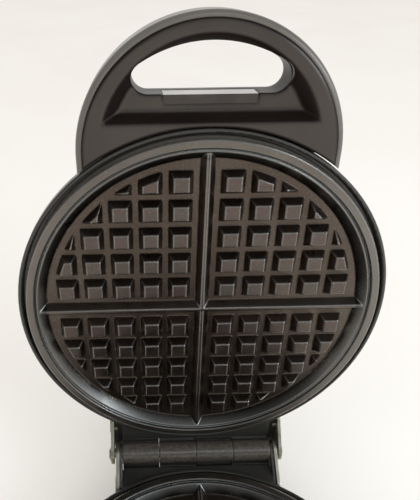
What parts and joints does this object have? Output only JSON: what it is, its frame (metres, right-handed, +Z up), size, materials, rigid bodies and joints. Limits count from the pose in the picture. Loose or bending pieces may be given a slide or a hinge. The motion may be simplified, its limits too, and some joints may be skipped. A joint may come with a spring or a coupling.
{
  "type": "waffle maker",
  "caption": "Round electric waffle maker with two hinged halves, studded non-stick cooking plates and loop handles, its lid standing open on its stop.",
  "frame": {"origin": "On the table, under the middle of the open waffle maker's outline box; the lower plate's centre is 10 mm in front of it.", "axes": "+X to the right for someone who faces the base handle, +Y from the base handle towards the hinge, +Z up."},
  "size_m": [0.1996, 0.3169, 0.3049],
  "materials": {
    "housing_plastic": "satin dark warm grey moulding",
    "coated_aluminium": "cast, with a dark non-stick coating",
    "hinge_steel": "yellow zinc plated",
    "fastener_steel": "plain",
    "element_steel": "heat-darkened tube",
    "shield_aluminium": "bare sheet",
    "lens_plastic": "smoked, glossy",
    "lamp_glass": "clear neon lamp",
    "control_plastic": "dark phenolic",
    "terminal_plastic": "pale ceramic-like moulding",
    "black_rubber": "matt"
  },
  "bodies": {
    "base": {"base_housing": "housing_plastic", "base_handle": "housing_plastic", "base_handle_cover": "housing_plastic", "base_handle_screws": "fastener_steel", "base_grip_screws": "fastener_steel", "lower_cooking_plate": "coated_aluminium", "lower_plate_screws": "fastener_steel", "lower_heating_element": "element_steel", "lower_element_clamps": "fastener_steel", "lower_heat_shield": "shield_aluminium", "thermostat": "control_plastic", "thermal_fuse": "fastener_steel", "fuse_clip": "fastener_steel", "terminal_block": "terminal_plastic", "cord_gland": "black_rubber", "rubber_feet": "black_rubber", "base_hinge_plates": "hinge_steel", "base_hinge_rivets": "hinge_steel", "hinge_pin": "hinge_steel", "hinge_pin_washer": "hinge_steel"},
    "lid": {"lid_housing": "housing_plastic", "lid_handle": "housing_plastic", "lid_handle_cover": "housing_plastic", "lid_handle_screws": "fastener_steel", "lid_grip_screws": "fastener_steel", "indicator_lens": "lens_plastic", "indicator_lamps": "lamp_glass", "lamp_holder": "control_plastic", "upper_cooking_plate": "coated_aluminium", "upper_plate_screws": "fastener_steel", "upper_heating_element": "element_steel", "upper_element_clamps": "fastener_steel", "upper_heat_shield": "shield_aluminium", "lid_hinge_plates": "hinge_steel", "lid_hinge_rivets": "hinge_steel"}
  },
  "joints": [
    {"name": "lid_hinge", "type": "hinge", "parent": "base", "child": "lid", "pos_m": [0, 0.1003, 0.0474], "axis": [1, 0, 0], "range_deg": [0, 95]}
  ]
}
